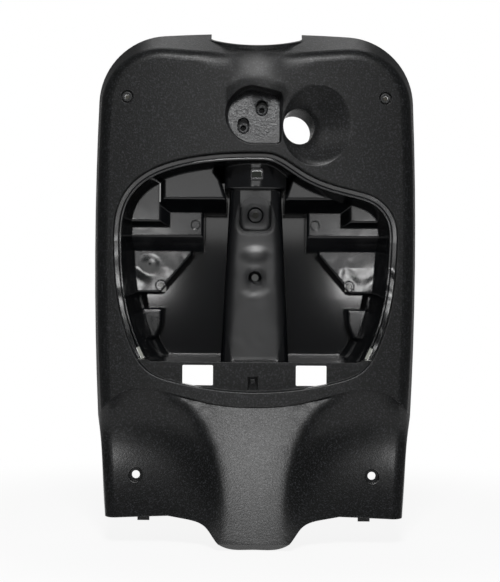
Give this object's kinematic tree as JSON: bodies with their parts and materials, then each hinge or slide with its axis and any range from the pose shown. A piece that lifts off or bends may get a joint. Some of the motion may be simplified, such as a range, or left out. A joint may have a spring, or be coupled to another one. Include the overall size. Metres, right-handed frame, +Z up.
{
  "type": "scooter inner leg shield with glove box tub",
  "caption": "Inner leg shield panel of a scooter with a flared rim, an open glove box tub behind it, a hook recess, a lock bore and foot wells beside a centre spine.",
  "frame": {"origin": "midway between the two screw seats of the steering column cover, inside their seat plates", "axes": "+X to the rider's right, +Y towards the front of the scooter, +Z up along the panel"},
  "size_m": [0.3914, 0.2165, 0.6121],
  "materials": {
    "grained_plastic": "moulded, fine grain",
    "smooth_plastic": "moulded, smooth",
    "screw_steel": "zinc plated"
  },
  "bodies": {
    "root": {"leg_shield": "grained_plastic", "glove_box_tub": "smooth_plastic", "tub_screws": "screw_steel"}
  },
  "joints": []
}
